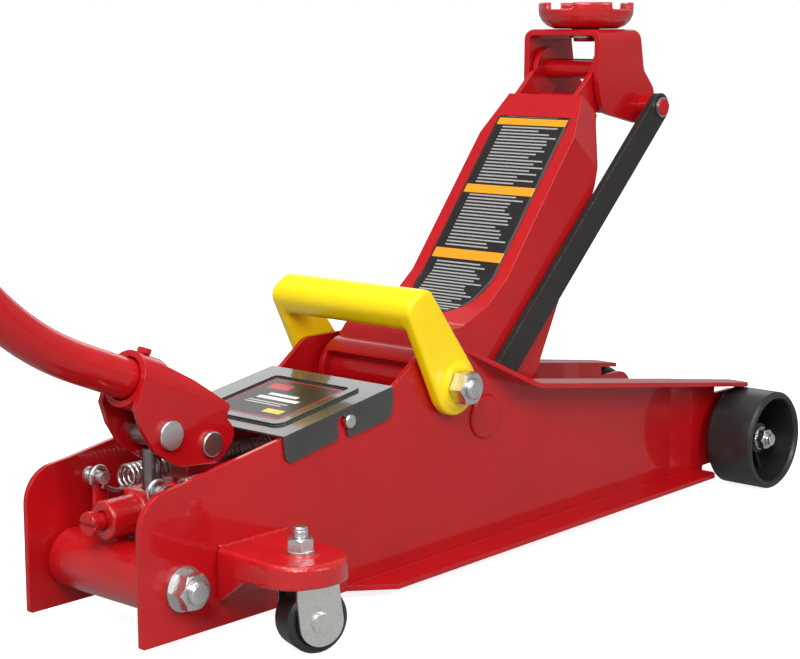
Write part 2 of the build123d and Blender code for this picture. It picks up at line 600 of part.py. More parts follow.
def handle_button(foot=BUTTON_FOOT):
    """Spring button that locks the two handle tubes together; a deeper one is the cutter for its hole."""
    place = along_handle(-28.0).location * Pos(foot, 0, 0) * Rot(0, 90, 0)
    button = Cylinder(3.0, HANDLE_R + 2.5 - foot, align=(Align.CENTER, Align.CENTER, Align.MIN))
    return place * fillet(button.edges().sort_by(Axis.Z)[-1:], 1.5)


# ---------------------------------------------------------------- carry handle
def carry_handle():
    """Moulded carry handle: two arms on the main bolt and a grip bar with finger scallops."""
    lean = degrees(atan2(GRIP_AT[1] - ARM_PIVOT[1], GRIP_AT[0] - ARM_PIVOT[0]))
    reach = ((GRIP_AT[0] - ARM_PIVOT[0]) ** 2 + (GRIP_AT[1] - ARM_PIVOT[1]) ** 2) ** 0.5
    leg_face = make_hull(
        (Circle(17.5).edges() + (Pos(reach - 2.0, 0) * RectangleRounded(22.0, 24.0, 8.0)).edges()))
    leg_in = PLATE_OUT + 1.0
    leg = plate_xz(Pos(*ARM_PIVOT) * Rot(0, 0, lean) * leg_face, leg_in, leg_in + 7.5)
    leg += bar_y(ARM_PIVOT, 13.0, leg_in, leg_in + 9.0)
    bar_face = Pos(*ARM_PIVOT) * Rot(0, 0, lean) * Pos(reach - 1.0, 0) * RectangleRounded(20.0, 24.0, 8.0)
    bar = plate_xz(bar_face, -leg_in - 7.5, leg_in + 7.5)
    for step in (-2, -1, 0, 1, 2):
        centre = Pos(*ARM_PIVOT) * Rot(0, 0, lean) * Pos(reach - 11.0 - 17.0, 0)
        place = Plane(origin=(0, step * 17.0, 0), x_dir=(1, 0, 0), z_dir=(0, -1, 0))
        tool = Sphere(19.0)
        spot = place.location * centre
        bar -= Location(spot.position) * tool
    handle = leg + right_of(leg) + bar
    return handle - bar_y(ARM_PIVOT, BOLT_R + RUN_GAP, -70, 70)


# ---------------------------------------------------------------- wheels and casters
def front_wheel():
    """Left front wheel: deep cup with a thin rim, hub and ribs, open to the outside."""
    disc_in = 6.0
    width = WHEEL_OUT - WHEEL_IN
    profile = Polyline(
        (AXLE_R + RUN_GAP, 0), (WHEEL_R - 2.5, 0), (WHEEL_R, 2.5), (WHEEL_R, width - 1.5),
        (WHEEL_R - 1.5, width), (WHEEL_R - 4.2, width), (WHEEL_R - 5.2, width - 2.0), (WHEEL_R - 6.0, disc_in),
        (11.5, disc_in), (10.5, 23.0), (AXLE_R + RUN_GAP, 23.0), close=True)
    wheel = revolve(Plane.XZ * make_face(profile), Axis.Z)
    for index in range(6):
        rib = Pos(19.5, 0, disc_in + 5.0) * Box(19.0, 2.4, 11.0)
        wheel += Rot(0, 0, 60 * index) * rib
    return outward(WHEEL_X, WHEEL_R, WHEEL_IN) * wheel


def front_axle():
    """Axle through both plates and both wheels, with threaded ends."""
    end = WHEEL_IN + 23.4
    axle = bar_y((WHEEL_X, WHEEL_R), AXLE_R, -end, end)
    for sign in (1, -1):
        axle += bar_y((WHEEL_X, WHEEL_R), 4.0, min(sign * end, sign * (end + 10)), max(sign * end, sign * (end + 10)))
    return axle


def axle_nut():
    """Left lock nut on the front axle."""
    nut = hex_body(13.0, 6.5) + Pos(0, 0, 6.4) * washer(5.2, 4.0, 1.6)
    nut += washer(8.0, 4.0, 1.0)
    nut -= Cylinder(4.0, 60)
    return outward(WHEEL_X, WHEEL_R, WHEEL_IN + 23.5) * nut


def axle_spacer():
    """Left spacer between the side plate and the wheel."""
    return bar_y((WHEEL_X, WHEEL_R), 9.5, PLATE_OUT + JOG, WHEEL_IN - CLEAR) - bar_y(
        (WHEEL_X, WHEEL_R), AXLE_R, 0, 90)


def cross_tube():
    """Tube between the side plates round the front axle."""
    return bar_y((WHEEL_X, WHEEL_R), 9.5, -PLATE_IN - JOG, PLATE_IN + JOG) - bar_y(
        (WHEEL_X, WHEEL_R), AXLE_R, -90, 90)


def caster_bracket():
    """Left caster bracket: domed plate with a skirt, welded to the side plate."""
    x, y = CASTER_XY
    reach = 25.0
    outline = make_hull((
        (Pos(x, y) * Circle(reach)).edges() + (Pos(78.0, PLATE_OUT + 2.0) * Rectangle(53.0, 4.0)).edges()))
    shell = plate_xy(outline, 18.0, BRACKET_Z)
    shell = fillet(shell.edges().group_by(Axis.Z)[-1], 3.2)
    core = plate_xy(offset(outline, -BRACKET_T), 10.0, BRACKET_Z - BRACKET_T)
    skirt_cut = Plane(origin=(0, 0, 0), x_dir=(0, 1, 0), z_dir=(1, 0, 0)) * polygon(
        (PLATE_OUT - 1, 24.0), (PLATE_OUT + 3, 24.0), (PLATE_OUT + 22, 38.0), (125, 40.5), (125, 0), (PLATE_OUT - 1, 0))
    shell = shell - core - extrude(skirt_cut, 200)
    shell += bar_z(x, y, 9.5, BRACKET_Z - 0.5, BRACKET_Z + 0.9)
    back = Pos(78.0, PLATE_OUT + 1.0, 38.0) * Box(53.0, 2.0, 28.0)
    return shell + (back - plate_xy(Pos(78.0, 0) * Rectangle(80, 200), 0, 24.0)) - bar_z(x, y, 4.0, 0, 100)


def caster_stud():
    """Left caster stud: head under the fork's top, bearing race over it and thread through the bracket."""
    x, y = CASTER_XY
    under = FORK_TOP - FORK_SHEET - CLEAR
    stud = Pos(x, y, under - 1.0) * stub(4.0, 67.0 - under + 1.0)
    stud += bar_z(x, y, 6.5, under - 1.6, under)
    return stud + bar_z(x, y, 10.5, FORK_TOP + CLEAR, BRACKET_Z - BRACKET_T)


def caster_nut():
    """Left nut and washer on a caster stud."""
    x, y = CASTER_XY
    nut = Pos(0, 0, 1.6) * hex_body(13.0, 6.6) + washer(7.6, 4.0, 1.6)
    return Pos(x, y, BRACKET_Z + 0.9) * Rot(0, 0, 12) * (nut - Cylinder(4.0, 40))


def caster_place():
    """Middle of the left caster wheel: local X is its rolling direction and local Y its axle."""
    x, y = CASTER_XY
    turn = CASTER_TURN
    return Pos(x, y, 0) * Rot(0, 0, turn) * Pos(CASTER_TRAIL, 0, CASTER_R)


def caster_fork():
    """Left caster fork: folded sheet with two cheeks, and the wheel's axle rivet."""
    rise = FORK_TOP - CASTER_R
    cheek = make_hull((
        Circle(12.5).edges() + (Pos(-2.0, rise - 6.0) * RectangleRounded(24.0, 12.0, 4.0)).edges()))
    fork = plate_xz(cheek, -FORK_HALF, FORK_HALF)
    fork -= Pos(0, 0, rise - FORK_SHEET - 50.0) * Box(60, 2 * (FORK_HALF - FORK_SHEET), 100.0)
    fork -= bar_z(-CASTER_TRAIL, 0, 4.0 + RUN_GAP, 0, 60)
    rivet = bar_y((0, 0), 3.0, -FORK_HALF - 1.4, FORK_HALF + 1.4)
    for sign in (1, -1):
        rivet += bar_y((0, 0), 5.6, min(sign * FORK_HALF, sign * (FORK_HALF + 1.8)),
                       max(sign * FORK_HALF, sign * (FORK_HALF + 1.8)))
    return caster_place() * (fork + rivet)


def caster_wheel():
    """Left caster wheel with a recessed face on each side."""
    half = 9.6
    profile = Polyline(
        (3.0 + RUN_GAP, -half), (7.0, -half), (7.0, -half + 2.5), (12.5, -half + 2.5), (13.5, -half + 0.6),
        (CASTER_R - 2.0, -half + 0.6), (CASTER_R, -half + 2.6), (CASTER_R, half - 2.6),
        (CASTER_R - 2.0, half - 0.6), (13.5, half - 0.6), (12.5, half - 2.5), (7.0, half - 2.5), (7.0, half),
        (3.0 + RUN_GAP, half), close=True)
    wheel = revolve(Plane.XZ * make_face(profile), Axis.Z)
    return caster_place() * Rot(90, 0, 0) * wheel


# ---------------------------------------------------------------- bolts across the frame
def flange_end(flats, flange, stud, height):
    """Nut with a round flange and the bolt's end standing out of it, along +Z."""
    nut = washer(flange, stud, 2.4)
    nut += Pos(0, 0, 2.3) * hex_body(flats, height)
    return nut - Cylinder(stud, 80)


def main_bolt():
    """Bolt of the main pivot: head on the left, threaded end on the right."""
    seat = PLATE_OUT + 10.0
    bolt = bar_y(ARM_PIVOT, BOLT_R, -seat, seat + 1.5)
    bolt += right_of(outward(*ARM_PIVOT, seat - 1.0) * stub(THREAD_R, 14.0))
    return bolt + outward(*ARM_PIVOT, seat + 0.6) * hex_body(NUT_FLATS, 8.5)


def main_nut():
    """Nut of the main pivot, on the right."""
    seat = PLATE_OUT + 10.6
    return right_of(outward(*ARM_PIVOT, seat) * (hex_body(NUT_FLATS, 9.5) - Cylinder(THREAD_R, 60)))


def trunnion_bolt():
    """Bolt through the trunnion: flanged head on the left, threaded end on the right."""
    bolt = bar_y(TRUNNION, BOLT_R, -PLATE_OUT, PLATE_OUT + 2)
    bolt += right_of(outward(*TRUNNION, PLATE_OUT - 1.0) * stub(THREAD_R, 15.5))
    head = washer(NUT_FLANGE_R, THREAD_R, 2.4) + Pos(0, 0, 2.3) * hex_body(NUT_FLATS, 8.0)
    return bolt + outward(*TRUNNION, PLATE_OUT) * head


def trunnion_nut():
    """Flanged nut of the trunnion, on the right."""
    return right_of(outward(*TRUNNION, PLATE_OUT) * flange_end(NUT_FLATS, NUT_FLANGE_R, THREAD_R, 9.0))


# ---------------------------------------------------------------- assembly
def build_parts():
    """Make every node, in the working frame."""
    pair("side_plate", finished_side_plate())
    parts["cover_plate"] = cover_plate()
    group("cover_screws", cover_screw())
    parts["lift_arm"] = arm_shell()
    parts["arm_pivot_tube"] = arm_pivot_tube()
    parts["arm_stay_tube"] = bar_y(ARM_STAY, 6.0, -25.0, 25.0)
    parts["ram_cross_pin"] = bar_y(LEVER_PIN, 7.0, -ARM_HALF, ARM_HALF)
    parts["saddle_bracket"] = saddle_bracket()
    parts["bracket_pivot_pin"] = bar_y(TOP_PIVOT, 6.0, -BRACKET_HALF, BRACKET_HALF)
    parts["rod_cross_pin"] = bar_y(ROD_TOP, 5.5, -PLATE_IN - 2.2, PLATE_IN + 2.2)
    group("rod_spacers", bar_y(ROD_TOP, 8.0, BRACKET_HALF, ARM_HALF + 0.5) - bar_y(ROD_TOP, 5.5, 0, 60))
    pair("radius_rod", radius_rod())
    group("rod_studs", rod_stud())
    group("rod_clips", retaining_clip())
    parts["saddle"] = saddle()
    clip_z = BRACKET_TOP - BRACKET_SHEET - CLEAR - 1.4
    parts["saddle_clip"] = Pos(SADDLE_X, 0, clip_z) * washer(10.5, 8.0, 1.4)
    parts["pump_block"] = pump_block()
    group("spring_anchors", anchor_pin())
    parts["pump_plunger"] = plunger()
    parts["release_valve"] = release_valve()
    parts["reservoir"] = reservoir()
    parts["cylinder_gland"] = cylinder_gland()
    parts["ram"] = ram()
    parts["crosshead"] = crosshead()
    pair("return_spring", return_spring())
    parts["handle_socket"] = handle_socket()
    parts["fulcrum_pin"] = cheek_pin(FULCRUM, 5.5, 7.0)
    parts["roller_pin"] = cheek_pin(ROLLER, 5.5, 8.0)
    parts["plunger_roller"] = roller()
    parts["socket_screw"] = socket_screw()
    parts["handle_lower"] = handle_lower()
    parts["handle_upper"] = handle_upper()
    parts["handle_grip"] = handle_grip()
    parts["handle_button"] = handle_button()
    parts["carry_handle"] = carry_handle()
    parts["main_bolt"] = main_bolt()
    parts["main_nut"] = main_nut()
    parts["trunnion_bolt"] = trunnion_bolt()
    parts["trunnion_nut"] = trunnion_nut()
    pair("front_wheel", front_wheel())
    parts["front_axle"] = front_axle()
    group("axle_nuts", axle_nut())
    group("axle_spacers", axle_spacer())
    parts["front_cross_tube"] = cross_tube()
    pair("caster_bracket", caster_bracket())
    group("caster_studs", caster_stud())
    group("caster_nuts", caster_nut())
    pair("caster_fork", caster_fork())
    pair("caster_wheel", caster_wheel())


def frame_shift():
    """Move that puts the origin at the middle of the whole box's underside."""
    box = Compound(children=[Compound(shape.solids()) for shape in parts.values()]).bounding_box()
    return Vector(-(box.min.X + box.max.X) / 2, -(box.min.Y + box.max.Y) / 2, -box.min.Z)


build_parts()
shift = frame_shift()
os.makedirs("parts", exist_ok=True)
for name, shape in parts.items():
    export_step(Compound(Pos(shift) * shape), "parts/" + name + ".step")
print("origin shift", shift, "nodes", len(parts))
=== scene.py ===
import json
import math

import bpy
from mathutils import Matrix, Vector
from mathutils.bvhtree import BVHTree


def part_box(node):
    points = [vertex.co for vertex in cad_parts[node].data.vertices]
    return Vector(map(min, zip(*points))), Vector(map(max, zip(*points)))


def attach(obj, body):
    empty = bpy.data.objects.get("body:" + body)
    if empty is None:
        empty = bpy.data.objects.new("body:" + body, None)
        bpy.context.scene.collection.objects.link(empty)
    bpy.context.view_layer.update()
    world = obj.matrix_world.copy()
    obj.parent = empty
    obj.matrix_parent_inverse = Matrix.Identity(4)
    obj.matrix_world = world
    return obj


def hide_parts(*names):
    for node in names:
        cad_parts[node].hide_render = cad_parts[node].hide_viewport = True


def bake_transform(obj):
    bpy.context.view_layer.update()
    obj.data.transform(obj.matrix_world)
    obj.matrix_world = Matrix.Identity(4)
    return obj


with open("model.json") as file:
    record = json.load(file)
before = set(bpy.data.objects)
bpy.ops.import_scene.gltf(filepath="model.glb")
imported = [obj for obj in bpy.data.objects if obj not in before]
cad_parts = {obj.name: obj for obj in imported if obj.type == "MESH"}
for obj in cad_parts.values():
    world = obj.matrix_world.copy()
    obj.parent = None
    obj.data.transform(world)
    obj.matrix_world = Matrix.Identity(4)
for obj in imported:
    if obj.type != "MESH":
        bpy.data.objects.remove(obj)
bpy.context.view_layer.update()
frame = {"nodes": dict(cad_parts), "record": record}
nodes = frame["nodes"]

# Positions given to at() are millimetres from the side plates' rear edge, the middle and the floor.
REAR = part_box("side_plate_left")[0].x


def at(x, y, z):
    """A point in the frame, from millimetres ahead of the rear edge, left of the middle and up."""
    return Vector((REAR + x / 1000, y / 1000, z / 1000))


# ---------------------------------------------------------------- camera
CAMERA_AT = at(-590.1, -748.2, 323.2)
CAMERA_YAW = math.radians(41.751)
CAMERA_PITCH = math.radians(9.353)
CAMERA_LENS = 84.44


def add_camera():
    """Camera at the product picture's viewing angle."""
    level = math.cos(CAMERA_PITCH)
    look = Vector((level * math.cos(CAMERA_YAW), level * math.sin(CAMERA_YAW), -math.sin(CAMERA_PITCH)))
    data = bpy.data.cameras.new("camera")
    data.lens = CAMERA_LENS
    data.clip_start = 0.02
    camera = bpy.data.objects.new("camera", data)
    camera.location = CAMERA_AT
    camera.rotation_euler = look.to_track_quat("-Z", "Y").to_euler()
    bpy.context.scene.collection.objects.link(camera)
    bpy.context.scene.camera = camera


# ---------------------------------------------------------------- node helpers
def link(tree, source, target):
    tree.links.new(source, target)


def math_node(tree, operation, first, second=None, third=None):
    """A Math node on sockets or numbers; returns its output."""
    node = tree.nodes.new("ShaderNodeMath")
    node.operation = operation
    for index, item in enumerate((first, second, third)):
        if item is None:
            continue
        if isinstance(item, (int, float)):
            node.inputs[index].default_value = item
        else:
            link(tree, item, node.inputs[index])
    return node.outputs[0]


def position(tree):
    """Object coordinates, in metres."""
    return tree.nodes.new("ShaderNodeTexCoord").outputs["Object"]


def noise(tree, scale, detail=4.0, roughness=0.55, coords=None):
    """Noise between 0 and 1 with scale features per metre."""
    node = tree.nodes.new("ShaderNodeTexNoise")
    node.inputs["Scale"].default_value = scale
    node.inputs["Detail"].default_value = detail
    node.inputs["Roughness"].default_value = roughness
    link(tree, coords or position(tree), node.inputs["Vector"])
    return node.outputs[0]


def ramp(tree, source, low, high):
    """Rescales source so that low to high becomes 0 to 1, clamped."""
    node = tree.nodes.new("ShaderNodeMapRange")
    node.inputs["From Min"].default_value = low
    node.inputs["From Max"].default_value = high
    link(tree, source, node.inputs["Value"])
    return node.outputs[0]


def mix_color(tree, factor, first, second):
    """Colour mix; each colour is a socket or three numbers."""
    node = tree.nodes.new("ShaderNodeMix")
    node.data_type = "RGBA"
    link(tree, factor, node.inputs[0])
    for socket, item in ((node.inputs[6], first), (node.inputs[7], second)):
        if isinstance(item, (tuple, list)):
            socket.default_value = (*item, 1.0)
        else:
            link(tree, item, socket)
    return node.outputs[2]


def bevel_normal(tree, radius):
    """Normal rounded over edges."""
    node = tree.nodes.new("ShaderNodeBevel")
    node.samples = 6
    node.inputs["Radius"].default_value = radius
    return node.outputs[0]


def edge_mask(tree, radius):
    """1 on edges and 0 on flat stretches."""
    geometry = tree.nodes.new("ShaderNodeNewGeometry")
    dot = tree.nodes.new("ShaderNodeVectorMath")
    dot.operation = "DOT_PRODUCT"
    link(tree, bevel_normal(tree, radius), dot.inputs[0])
    link(tree, geometry.outputs["Normal"], dot.inputs[1])
    return ramp(tree, dot.outputs["Value"], 0.995, 0.86)


def bump(tree, height, distance, strength=1.0, normal=None):
    """Bump from a height socket; distance in metres."""
    node = tree.nodes.new("ShaderNodeBump")
    node.inputs["Strength"].default_value = strength
    node.inputs["Distance"].default_value = distance
    link(tree, height, node.inputs["Height"])
    if normal is not None:
        link(tree, normal, node.inputs["Normal"])
    return node.outputs[0]


def new_material(name, **sockets):
    """Material with a principled shader; sockets sets its constant inputs."""
    material = bpy.data.materials.new(name)
    material.use_nodes = True
    tree = material.node_tree
    shader = tree.nodes["Principled BSDF"]
    for key, value in sockets.items():
        shader.inputs[key.replace("_", " ")].default_value = value
    return material, tree, shader


# ---------------------------------------------------------------- materials
def gloss_paint(name, color, deep, peel=0.00004, edge=0.0007):
    """Thick glossy enamel on sheet steel: orange peel, soft edges, slight shade changes and patchy paler
    edges, which are a painted edge highlight.
    """
    material, tree, shader = new_material(
        name, Specular_IOR_Level=0.15, Coat_Weight=0.6, Coat_Roughness=0.05)
    shade = ramp(tree, noise(tree, 14.0, 3.0), 0.3, 0.75)
    base = mix_color(tree, shade, color, deep)
    # Painted edge highlight: the edges are mixed, in patches, toward a paler red.
    paler_edges = math_node(tree, "MULTIPLY", edge_mask(tree, edge), ramp(tree, noise(tree, 260.0), 0.35, 0.7))
    pale = tuple(min(1.0, part * 1.2 + 0.05) for part in color)
    color_out = mix_color(tree, math_node(tree, "MULTIPLY", paler_edges, 0.55), base, pale)
    link(tree, color_out, shader.inputs["Base Color"])
    fine = math_node(tree, "MULTIPLY_ADD", noise(tree, 900.0, 2.0), 0.12, 0.26)
    link(tree, fine, shader.inputs["Roughness"])
    height = math_node(tree, "ADD", noise(tree, 420.0, 2.0), noise(tree, 60.0, 2.0))
    normal = bump(tree, height, peel, 0.6, bevel_normal(tree, edge))
    link(tree, normal, shader.inputs["Normal"])
    link(tree, normal, shader.inputs["Coat Normal"])
    return material


def cast_paint(name, color, deep):
    """Enamel over a rough casting: pits and grains show through the gloss."""
    material, tree, shader = new_material(
        name, Specular_IOR_Level=0.25, Coat_Weight=0.9, Coat_Roughness=0.07)
    shade = ramp(tree, noise(tree, 40.0, 4.0), 0.3, 0.75)
    link(tree, mix_color(tree, shade, color, deep), shader.inputs["Base Color"])
    grain = noise(tree, 650.0, 3.0, 0.6)
    cells = tree.nodes.new("ShaderNodeTexVoronoi")
    cells.inputs["Scale"].default_value = 420.0
    link(tree, position(tree), cells.inputs["Vector"])
    height = math_node(tree, "MULTIPLY_ADD", cells.outputs["Distance"], 0.5, grain)
    normal = bump(tree, height, 0.00035, 0.55, bevel_normal(tree, 0.0014))
    link(tree, normal, shader.inputs["Normal"])
    link(tree, normal, shader.inputs["Coat Normal"])
    link(tree, math_node(tree, "MULTIPLY_ADD", grain, 0.2, 0.22), shader.inputs["Roughness"])
    return material


def satin_black(name, color, gloss, edge_color, coat=0.1, coat_rough=0.2):
    """Black enamel with rubbed, paler edges and a faint brushed grain."""
    material, tree, shader = new_material(
        name, Specular_IOR_Level=0.3, Coat_Weight=coat, Coat_Roughness=coat_rough)
    shade = ramp(tree, noise(tree, 35.0, 4.0), 0.3, 0.8)
    base = mix_color(tree, shade, color, tuple(part * 1.7 for part in color))
    spots = ramp(tree, noise(tree, 700.0, 3.0), 0.42, 0.62)
    paler_edges = math_node(tree, "MULTIPLY", edge_mask(tree, 0.0008), spots)
    color_out = mix_color(tree, math_node(tree, "MULTIPLY", paler_edges, 0.7), base, edge_color)
    link(tree, color_out, shader.inputs["Base Color"])
    link(tree, math_node(tree, "MULTIPLY_ADD", noise(tree, 300.0), 0.18, gloss), shader.inputs["Roughness"])
    link(tree, bump(tree, noise(tree, 1100.0, 2.0), 0.00004, 0.6, bevel_normal(tree, 0.0006)),
         shader.inputs["Normal"])
    return material


def zinc(name, tone=(0.71, 0.72, 0.74), speckle=0.25):
    """Bright zinc plating: cloudy crystals, faint scratches and a slight warm and blue tint."""
    material, tree, shader = new_material(name, Metallic=1.0)
    cloud = ramp(tree, noise(tree, 180.0, 4.0), 0.3, 0.7)
    warm = (tone[0] * 0.92, tone[1] * 0.88, tone[2] * 0.8)
    base = mix_color(tree, math_node(tree, "MULTIPLY", cloud, 0.6), tone, warm)
    spot = ramp(tree, noise(tree, 1500.0, 2.0), 0.56, 0.66)
    dark = tuple(part * 0.55 for part in tone)
    base = mix_color(tree, math_node(tree, "MULTIPLY", spot, speckle), base, dark)
    link(tree, base, shader.inputs["Base Color"])
    rough = math_node(tree, "MULTIPLY_ADD", noise(tree, 700.0, 3.0), 0.25, 0.18)
    link(tree, rough, shader.inputs["Roughness"])
    link(tree, bump(tree, noise(tree, 1400.0, 3.0), 0.00003, 0.5, bevel_normal(tree, 0.0003)),
         shader.inputs["Normal"])
    return material


def turned_steel(name):
    """Dark oiled steel with fine turning marks."""
    material, tree, shader = new_material(name, Metallic=1.0)
    cloud = ramp(tree, noise(tree, 90.0, 3.0), 0.3, 0.7)
    link(tree, mix_color(tree, cloud, (0.32, 0.31, 0.3), (0.2, 0.19, 0.18)), shader.inputs["Base Color"])
    link(tree, math_node(tree, "MULTIPLY_ADD", noise(tree, 500.0), 0.2, 0.2), shader.inputs["Roughness"])
    link(tree, bump(tree, noise(tree, 1600.0, 2.0), 0.00003, 0.5, bevel_normal(tree, 0.0004)),
         shader.inputs["Normal"])
    return material


def gloss_plastic(name, color, deep):
    """Moulded glossy plastic with a faint flow pattern."""
    material, tree, shader = new_material(
        name, Roughness=0.3, Specular_IOR_Level=0.4, Coat_Weight=0.2, Coat_Roughness=0.1,
        Subsurface_Weight=0.05)
    shader.inputs["Subsurface Radius"].default_value = (0.002, 0.0012, 0.0004)
    shade = ramp(tree, noise(tree, 22.0, 3.0), 0.3, 0.75)
    link(tree, mix_color(tree, shade, color, deep), shader.inputs["Base Color"])
    height = math_node(tree, "ADD", noise(tree, 50.0, 2.0), noise(tree, 700.0, 1.0))
    link(tree, bump(tree, height, 0.00005, 0.5, bevel_normal(tree, 0.0022)), shader.inputs["Normal"])
    return material


def black_plastic(name, color=(0.018, 0.018, 0.019), rough=0.36):
    """Black moulded plastic: fine spark-eroded grain and dull scuffs."""
    material, tree, shader = new_material(name)
    scuff = ramp(tree, noise(tree, 60.0, 5.0), 0.5, 0.8)
    link(tree, mix_color(tree, math_node(tree, "MULTIPLY", scuff, 0.5), color, tuple(p * 2.6 for p in color)),
         shader.inputs["Base Color"])
    link(tree, math_node(tree, "MULTIPLY_ADD", scuff, 0.2, rough), shader.inputs["Roughness"])
    link(tree, bump(tree, noise(tree, 1800.0, 2.0), 0.00006, 0.6, bevel_normal(tree, 0.0008)),
         shader.inputs["Normal"])
    return material


def label_film(name, pattern):
    """Glossy printed film; pattern(tree, u, v) returns its colour socket."""
    material, tree, shader = new_material(
        name, Roughness=0.35, Specular_IOR_Level=0.3, Coat_Weight=0.15, Coat_Roughness=0.12)
    coords = tree.nodes.new("ShaderNodeSeparateXYZ")
    link(tree, tree.nodes.new("ShaderNodeTexCoord").outputs["UV"], coords.inputs[0])
    link(tree, pattern(tree, coords.outputs[0], coords.outputs[1]), shader.inputs["Base Color"])
    link(tree, bump(tree, noise(tree, 150.0, 2.0), 0.00005, 0.4), shader.inputs["Normal"])
    return material


def band(tree, source, low, high):
    """1 where source lies between low and high."""
    above = math_node(tree, "GREATER_THAN", source, low)
    return math_node(tree, "MULTIPLY", above, math_node(tree, "LESS_THAN", source, high))


def lines(tree, u, v, rows, left, right):
    """Plain grey lines with ragged right ends."""
    scaled = math_node(tree, "MULTIPLY", v, rows)
    row = math_node(tree, "FLOOR", scaled)
    inside = math_node(tree, "FRACT", scaled)
    random = tree.nodes.new("ShaderNodeTexWhiteNoise")
    random.noise_dimensions = "1D"
    link(tree, row, random.inputs["W"])
    end = math_node(tree, "MULTIPLY_ADD", random.outputs["Value"], 0.3, right - 0.3)
    reach = math_node(tree, "LESS_THAN", u, end)
    start = math_node(tree, "GREATER_THAN", u, left)
    mask = band(tree, inside, 0.3, 0.72)
    return math_node(tree, "MULTIPLY", mask, math_node(tree, "MULTIPLY", reach, start))


ARM_BARS = ((0.012, 0.045), (0.345, 0.385), (0.655, 0.7))


def arm_label_pattern(tree, u, v):
    """Black film with three orange bars, plain grey lines and a dark red edge."""
    color = mix_color(tree, lines(tree, u, v, 62.0, 0.13, 0.95), (0.012, 0.011, 0.011), (0.36, 0.36, 0.35))
    for low, high in ARM_BARS:
        clear = band(tree, v, low - 0.006, high + 0.006)
        color = mix_color(tree, clear, color, (0.012, 0.011, 0.011))
        bar = math_node(tree, "MULTIPLY", band(tree, v, low, high), band(tree, u, 0.03, 0.97))
        color = mix_color(tree, bar, color, (0.85, 0.32, 0.01))
    far_u = math_node(tree, "ABSOLUTE", math_node(tree, "SUBTRACT", u, 0.5))
    rim = math_node(tree, "GREATER_THAN", far_u, 0.485)
    return mix_color(tree, rim, color, (0.2, 0.01, 0.01))


def cover_label_pattern(tree, u, v):
    """Black film with a red border, two pale bars, a red block and a small yellow one."""
    far_u = math_node(tree, "ABSOLUTE", math_node(tree, "SUBTRACT", u, 0.5))
    far_v = math_node(tree, "ABSOLUTE", math_node(tree, "SUBTRACT", v, 0.5))
    far = math_node(tree, "MAXIMUM", far_u, far_v)
    color = mix_color(tree, band(tree, far, 0.455, 0.475), (0.012, 0.011, 0.011), (0.5, 0.01, 0.012))
    blocks = (
        (0.3, 0.7, 0.56, 0.62, (0.7, 0.7, 0.68)), (0.24, 0.8, 0.45, 0.52, (0.7, 0.7, 0.68)),
        (0.2, 0.75, 0.37, 0.39, (0.5, 0.5, 0.48)), (0.2, 0.7, 0.32, 0.34, (0.5, 0.5, 0.48)),
        (0.12, 0.42, 0.72, 0.86, (0.45, 0.01, 0.015)), (0.62, 0.86, 0.14, 0.24, (0.8, 0.5, 0.02)))
    for left, right, low, high, tint in blocks:
        mask = math_node(tree, "MULTIPLY", band(tree, u, left, right), band(tree, v, low, high))
        color = mix_color(tree, mask, color, tint)
    return color


def seen_directly(tree):
    """1 where the camera itself looks, 0 in reflections and in bounced light."""
    return tree.nodes.new("ShaderNodeLightPath").outputs["Is Camera Ray"]


def floor_white(name):
    """Pale studio sweep with a trace of texture; what the paint mirrors of it is darker."""
    material, tree, shader = new_material(name, Roughness=0.7, Specular_IOR_Level=0.1, Emission_Strength=1.0)
    shade = ramp(tree, noise(tree, 3.0, 3.0), 0.2, 0.9)
    pale = mix_color(tree, shade, (0.8, 0.8, 0.8), (0.76, 0.76, 0.765))
    link(tree, mix_color(tree, seen_directly(tree), (0.25, 0.25, 0.25), pale), shader.inputs["Base Color"])
    glow = mix_color(tree, seen_directly(tree), (0.14, 0.14, 0.14), (0.85, 0.85, 0.85))
    link(tree, glow, shader.inputs["Emission Color"])
    return material


RED = (0.5, 0.005, 0.008)
RED_DEEP = (0.42, 0.003, 0.006)
MATERIALS = {
    "red_paint": gloss_paint("red_enamel", RED, RED_DEEP),
    "cast_red": cast_paint("red_cast_enamel", (0.54, 0.006, 0.009), (0.43, 0.004, 0.007)),
    "black_paint": satin_black("black_enamel", (0.016, 0.0145, 0.014), 0.34, (0.16, 0.16, 0.15)),
    "zinc": zinc("zinc_plate"),
    "dark_steel": turned_steel("oiled_steel"),
    "yellow_plastic": gloss_plastic("yellow_plastic", (1.0, 0.74, 0.0), (0.97, 0.66, 0.0)),
    "black_plastic": black_plastic("black_moulding"),
    "grip_rubber": black_plastic("grip_rubber", (0.014, 0.014, 0.014), 0.6),
}
COVER_GLOSS = satin_black("cover_enamel", (0.03, 0.029, 0.028), 0.16, (0.2, 0.2, 0.2), 0.8, 0.05)
GALVANISED = zinc("galvanised_fork", (0.78, 0.81, 0.79), 0.45)


SLOT_OF = {part["node"]: part["material_slot"] for part in frame["record"]["subparts"]}


def set_material(obj, material):
    obj.data.materials.clear()
    obj.data.materials.append(material)


def paint_nodes():
    """Every CAD node gets the procedural material of its slot."""
    for node, slot in SLOT_OF.items():
        set_material(nodes[node], MATERIALS[slot])
    set_material(nodes["cover_plate"], COVER_GLOSS)
    for side in ("left", "right"):
        set_material(nodes["caster_fork_" + side], GALVANISED)


# ---------------------------------------------------------------- mesh helpers
def add_mesh(name, verts, faces, material, smooth=True):
    """New object from vertices in the frame's metres."""
    mesh = bpy.data.meshes.new(name)
    mesh.from_pydata([tuple(v) for v in verts], [], faces)
    mesh.validate()
    mesh.update()
    for polygon in mesh.polygons:
        polygon.use_smooth = smooth
    obj = bpy.data.objects.new(name, mesh)
    bpy.context.scene.collection.objects.link(obj)
    set_material(obj, material)
    return obj


